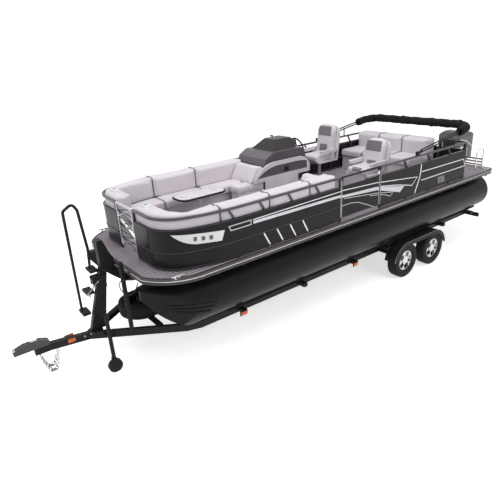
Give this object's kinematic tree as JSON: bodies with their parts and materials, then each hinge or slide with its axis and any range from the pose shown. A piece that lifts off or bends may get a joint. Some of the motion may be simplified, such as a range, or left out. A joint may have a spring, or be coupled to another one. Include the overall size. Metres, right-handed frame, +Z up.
{
  "type": "pontoon boat on a trailer",
  "caption": "Pontoon boat with lounges, helm, folded bimini top and outboard engine, standing on a tandem axle trailer with its tongue jack down",
  "frame": {"origin": "middle of the whole length and beam, on the ground", "axes": "+X to port, +Y to the stern, +Z up"},
  "size_m": [2.592, 10.3963, 2.705],
  "materials": {
    "hull_black": "satin black paint on welded tubes",
    "frame_black": "satin black paint",
    "anodised": "dark anodised extrusion",
    "bare_aluminium": "mill finish",
    "panel_black": "gloss black panel with silver stripes",
    "deck_vinyl": "woven vinyl with fine stripes",
    "rub_grey": "extruded rub rail",
    "vinyl_light": "light padded vinyl with dark piping",
    "vinyl_dark": "charcoal padded vinyl",
    "moulded_grey": "moulded dash and console",
    "moulded_white": "white moulding",
    "canvas": "black acrylic canvas",
    "cowl_grey": "dark metallic cowl",
    "stainless": "polished stainless",
    "galvanised": "zinc plated steel",
    "bunk_carpet": "black carpet on boards",
    "tyre": "black tyre rubber",
    "rim": "machined faces with dark pockets",
    "rubber": "black rubber"
  },
  "bodies": {
    "root": {"aft_lounge_back": "vinyl_light", "aft_lounge_seat": "vinyl_light", "axles": "frame_black", "bimini_mounts": "frame_black", "bunks": "bunk_carpet", "chair_pedestals": "bare_aluminium", "chaise_pads": "vinyl_light", "console": "moulded_grey", "coupler": "galvanised", "dash": "moulded_grey", "deck_floor": "deck_vinyl", "deck_frame": "bare_aluminium", "docking_lamps": "stainless", "engine_clamp": "cowl_grey", "engine_pod": "bare_aluminium", "fence_aft": "anodised", "fence_front": "anodised", "fenders": "frame_black", "handrail": "frame_black", "jack": "frame_black", "lounge_back_port": "vinyl_light", "lounge_back_starboard": "vinyl_light", "lounge_bases": "moulded_white", "lounge_seat_port": "vinyl_light", "lounge_seat_starboard": "vinyl_light", "panels_aft": "panel_black", "panels_front": "panel_black", "pontoon_centre": "hull_black", "pontoon_port": "hull_black", "pontoon_starboard": "hull_black", "rub_rail": "rub_grey", "spare_wheel": "tyre", "stern_ladder": "stainless", "table": "moulded_white", "trailer_frame": "frame_black", "winch_post": "frame_black", "windscreen": "moulded_grey"},
    "bow_gate": {"bow_gate": "anodised"},
    "side_gate": {"side_gate": "panel_black"},
    "stern_gate": {"stern_gate": "panel_black"},
    "helm_chair": {"helm_chair_shell": "vinyl_dark", "helm_chair_pads": "vinyl_light"},
    "mate_chair": {"mate_chair_shell": "vinyl_dark", "mate_chair_pads": "vinyl_light"},
    "steering_wheel": {"steering_wheel": "rubber"},
    "bimini": {"bimini_frame": "frame_black", "bimini_boot": "canvas"},
    "engine_swivel": {"engine_swivel": "cowl_grey"},
    "engine": {"engine_leg": "cowl_grey", "engine_cowl": "cowl_grey"},
    "propeller": {"propeller": "stainless"},
    "jack_wheel": {"jack_wheel": "rubber"},
    "wheel_port_fore": {"tyre_port_fore": "tyre", "rim_port_fore": "rim"},
    "wheel_port_aft": {"tyre_port_aft": "tyre", "rim_port_aft": "rim"},
    "wheel_starboard_fore": {"tyre_starboard_fore": "tyre", "rim_starboard_fore": "rim"},
    "wheel_starboard_aft": {"tyre_starboard_aft": "tyre", "rim_starboard_aft": "rim"}
  },
  "joints": [
    {"name": "wheel_port_fore_spin", "type": "hinge", "parent": "root", "child": "wheel_port_fore", "pos_m": [1.168, 1.38, 0.331], "axis": [1, 0, 0], "continuous": true},
    {"name": "wheel_port_aft_spin", "type": "hinge", "parent": "root", "child": "wheel_port_aft", "pos_m": [1.168, 2.23, 0.331], "axis": [1, 0, 0], "continuous": true},
    {"name": "wheel_starboard_fore_spin", "type": "hinge", "parent": "root", "child": "wheel_starboard_fore", "pos_m": [-1.168, 1.38, 0.331], "axis": [1, 0, 0], "continuous": true},
    {"name": "wheel_starboard_aft_spin", "type": "hinge", "parent": "root", "child": "wheel_starboard_aft", "pos_m": [-1.168, 2.23, 0.331], "axis": [1, 0, 0], "continuous": true},
    {"name": "jack_wheel_spin", "type": "hinge", "parent": "root", "child": "jack_wheel", "pos_m": [0.29, -3.985, 0.1], "axis": [1, 0, 0], "continuous": true},
    {"name": "bow_gate_swing", "type": "hinge", "parent": "root", "child": "bow_gate", "pos_m": [-0.274, -3.356, 1.9], "axis": [0, 0, 1], "range_deg": [0, 90]},
    {"name": "side_gate_swing", "type": "hinge", "parent": "root", "child": "side_gate", "pos_m": [1.201, -0.394, 1.9], "axis": [0, 0, 1], "range_deg": [0, 90]},
    {"name": "stern_gate_swing", "type": "hinge", "parent": "root", "child": "stern_gate", "pos_m": [1.193, 3.106, 1.9], "axis": [0, 0, 1], "range_deg": [0, 90]},
    {"name": "helm_chair_swivel", "type": "hinge", "parent": "root", "child": "helm_chair", "pos_m": [-0.65, 1.01, 2.025], "axis": [0, 0, 1], "continuous": true},
    {"name": "mate_chair_swivel", "type": "hinge", "parent": "root", "child": "mate_chair", "pos_m": [0.56, 1, 1.955], "axis": [0, 0, 1], "continuous": true},
    {"name": "steering_wheel_turn", "type": "hinge", "parent": "root", "child": "steering_wheel", "pos_m": [-0.7, 0.36, 2.3328], "axis": [0, 0.9719, 0.2356], "range_deg": [-540, 540]},
    {"name": "bimini_swing", "type": "hinge", "parent": "root", "child": "bimini", "pos_m": [0, 1.54, 2.31], "axis": [1, 0, 0], "range_deg": [0, 100]},
    {"name": "engine_tilt", "type": "hinge", "parent": "root", "child": "engine_swivel", "pos_m": [0, 4.31, 1.44], "axis": [1, 0, 0], "range_deg": [0, 65]},
    {"name": "engine_steer", "type": "hinge", "parent": "engine_swivel", "child": "engine", "pos_m": [0, 4.4, 1.25], "axis": [0, 0, 1], "range_deg": [-30, 30]},
    {"name": "propeller_spin", "type": "hinge", "parent": "engine", "child": "propeller", "pos_m": [0, 4.962, 0.61], "axis": [0, 1, 0], "continuous": true}
  ]
}
